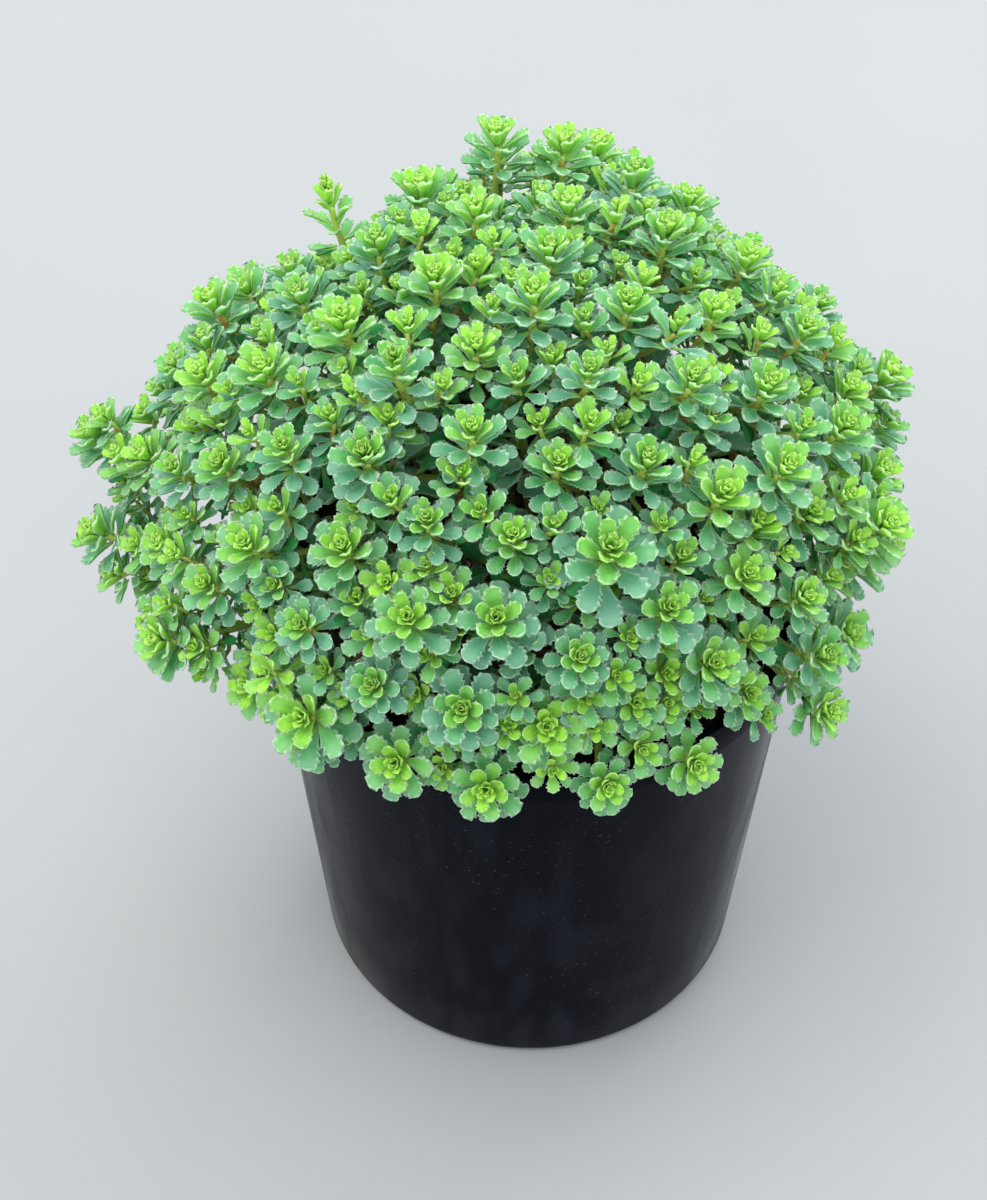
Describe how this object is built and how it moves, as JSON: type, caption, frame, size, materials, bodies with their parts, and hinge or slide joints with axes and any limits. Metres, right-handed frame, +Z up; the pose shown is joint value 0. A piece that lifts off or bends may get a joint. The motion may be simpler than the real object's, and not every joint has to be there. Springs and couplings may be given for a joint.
{
  "type": "potted kamchatka stonecrop",
  "caption": "Clump-forming stonecrop in a round nursery pot: a dense dome of toothed leaf rosettes on forking stems that stand in potting mix.",
  "frame": {"origin": "centre of the pot's flat underside, on the surface that it stands on", "axes": "+Z up out of the pot, -Y towards the viewer of the picture, +X to that viewer's right"},
  "size_m": [0.3052, 0.267, 0.3283],
  "materials": {
    "pot": "gloss",
    "potting_mix": "matte",
    "foliage": "satin"
  },
  "bodies": {
    "root": {"pot": "pot", "potting_mix": "potting_mix", "leafy_branch_01": "foliage", "leafy_branch_02": "foliage", "leafy_branch_03": "foliage", "leafy_branch_04": "foliage", "leafy_branch_05": "foliage", "leafy_branch_06": "foliage", "leafy_branch_07": "foliage", "leafy_branch_08": "foliage", "leafy_branch_09": "foliage", "leafy_branch_10": "foliage", "leafy_branch_11": "foliage", "leafy_branch_12": "foliage", "leafy_branch_13": "foliage", "leafy_branch_14": "foliage", "leafy_branch_15": "foliage", "leafy_branch_16": "foliage", "leafy_branch_17": "foliage", "leafy_branch_18": "foliage", "leafy_branch_19": "foliage", "leafy_branch_20": "foliage", "leafy_branch_21": "foliage", "leafy_branch_22": "foliage", "leafy_branch_23": "foliage", "leafy_branch_24": "foliage", "leafy_branch_25": "foliage", "leafy_branch_26": "foliage", "leafy_branch_27": "foliage", "leafy_branch_28": "foliage", "leafy_branch_29": "foliage", "leafy_branch_30": "foliage", "leafy_branch_31": "foliage", "leafy_branch_32": "foliage", "leafy_branch_33": "foliage", "leafy_branch_34": "foliage", "leafy_branch_35": "foliage", "leafy_branch_36": "foliage", "leafy_branch_37": "foliage", "leafy_branch_38": "foliage", "leafy_branch_39": "foliage", "leafy_branch_40": "foliage", "leafy_branch_41": "foliage", "leafy_branch_42": "foliage", "leafy_branch_43": "foliage", "leafy_branch_44": "foliage", "leafy_branch_45": "foliage", "leafy_branch_46": "foliage", "leafy_branch_47": "foliage", "leafy_branch_48": "foliage"}
  },
  "joints": []
}
